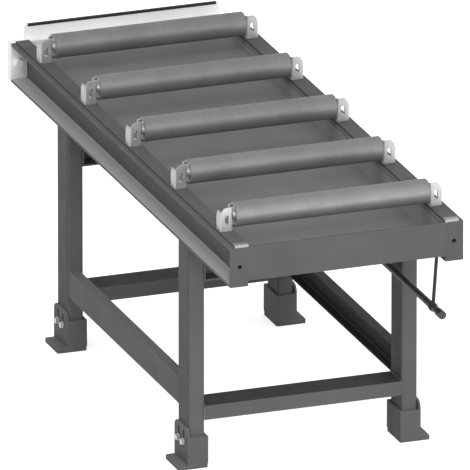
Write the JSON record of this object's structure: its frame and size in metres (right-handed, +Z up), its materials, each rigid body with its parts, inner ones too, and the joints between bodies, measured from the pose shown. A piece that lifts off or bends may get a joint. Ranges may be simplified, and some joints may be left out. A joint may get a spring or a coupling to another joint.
{
  "type": "roller conveyor",
  "caption": "Free-rolling conveyor section on a welded stand with telescoping feet, with bracketed rollers at a wide pitch over a drip tray with a drain pipe.",
  "frame": {"origin": "on the floor, at the middle of the outer box", "axes": "+Z up, +Y along the conveyor from the near end with the drain pipe's cap to the far end, +X to the right"},
  "size_m": [0.7508, 1.905, 0.8549],
  "materials": {
    "grey_paint": "satin grey paint",
    "pale_paint": "pale powder coat",
    "tray_sheet": "matte painted sheet",
    "zinc": "bright zinc plate",
    "bracket_zinc": "bright zinc plate",
    "roller_steel": "drawn steel tube",
    "hub_steel": "pressed steel",
    "dark_steel": "dark paint",
    "dark_plastic": "dark pipe plastic",
    "black_plastic": "black moulded plastic"
  },
  "bodies": {
    "frame": {"side_rail_left": "grey_paint", "mounting_strip_left": "grey_paint", "side_rail_right": "grey_paint", "mounting_strip_right": "grey_paint", "joint_plates": "zinc", "near_end_beam": "grey_paint", "end_cap_plates": "grey_paint", "far_end_pan": "pale_paint", "bridge_plate": "pale_paint", "tray": "tray_sheet", "drain_outlet": "dark_plastic", "drain_pipe": "dark_plastic", "pipe_cap": "black_plastic", "pipe_hanger": "dark_steel", "leg_near_left": "grey_paint", "leg_near_right": "grey_paint", "leg_far_left": "grey_paint", "leg_far_right": "grey_paint", "upper_beam_near": "grey_paint", "upper_beam_far": "grey_paint", "long_rail_left": "grey_paint", "long_rail_right": "grey_paint", "cross_rail_near": "grey_paint", "cross_rail_far": "grey_paint", "clamp_bolts": "zinc", "bracket_bolts": "zinc", "axle_1": "zinc", "axle_2": "zinc", "axle_3": "zinc", "axle_4": "zinc", "axle_5": "zinc", "bracket_left_1": "bracket_zinc", "bracket_left_2": "bracket_zinc", "bracket_left_3": "bracket_zinc", "bracket_left_4": "bracket_zinc", "bracket_left_5": "bracket_zinc", "bracket_right_1": "bracket_zinc", "bracket_right_2": "bracket_zinc", "bracket_right_3": "bracket_zinc", "bracket_right_4": "bracket_zinc", "bracket_right_5": "bracket_zinc"},
    "foot_near_left": {"shoe_near_left": "grey_paint", "base_near_left": "grey_paint"},
    "foot_near_right": {"shoe_near_right": "grey_paint", "base_near_right": "grey_paint"},
    "foot_far_left": {"shoe_far_left": "grey_paint", "base_far_left": "grey_paint"},
    "foot_far_right": {"shoe_far_right": "grey_paint", "base_far_right": "grey_paint"},
    "roller_1": {"roller_tube_1": "roller_steel", "roller_hubs_1": "hub_steel"},
    "roller_2": {"roller_tube_2": "roller_steel", "roller_hubs_2": "hub_steel"},
    "roller_3": {"roller_tube_3": "roller_steel", "roller_hubs_3": "hub_steel"},
    "roller_4": {"roller_tube_4": "roller_steel", "roller_hubs_4": "hub_steel"},
    "roller_5": {"roller_tube_5": "roller_steel", "roller_hubs_5": "hub_steel"}
  },
  "joints": [
    {"name": "roller_1_spin", "type": "hinge", "parent": "frame", "child": "roller_1", "pos_m": [0, -0.7705, 0.82], "axis": [1, 0, 0], "continuous": true},
    {"name": "roller_2_spin", "type": "hinge", "parent": "frame", "child": "roller_2", "pos_m": [0, -0.3955, 0.82], "axis": [1, 0, 0], "continuous": true},
    {"name": "roller_3_spin", "type": "hinge", "parent": "frame", "child": "roller_3", "pos_m": [0, -0.0205, 0.82], "axis": [1, 0, 0], "continuous": true},
    {"name": "roller_4_spin", "type": "hinge", "parent": "frame", "child": "roller_4", "pos_m": [0, 0.3545, 0.82], "axis": [1, 0, 0], "continuous": true},
    {"name": "roller_5_spin", "type": "hinge", "parent": "frame", "child": "roller_5", "pos_m": [0, 0.7295, 0.82], "axis": [1, 0, 0], "continuous": true},
    {"name": "foot_near_left_slide", "type": "slide", "parent": "frame", "child": "foot_near_left", "axis": [0, 0, -1], "range_m": [-0.01, 0.03]},
    {"name": "foot_near_right_slide", "type": "slide", "parent": "frame", "child": "foot_near_right", "axis": [0, 0, -1], "range_m": [-0.01, 0.03]},
    {"name": "foot_far_left_slide", "type": "slide", "parent": "frame", "child": "foot_far_left", "axis": [0, 0, -1], "range_m": [-0.01, 0.03]},
    {"name": "foot_far_right_slide", "type": "slide", "parent": "frame", "child": "foot_far_right", "axis": [0, 0, -1], "range_m": [-0.01, 0.03]}
  ]
}
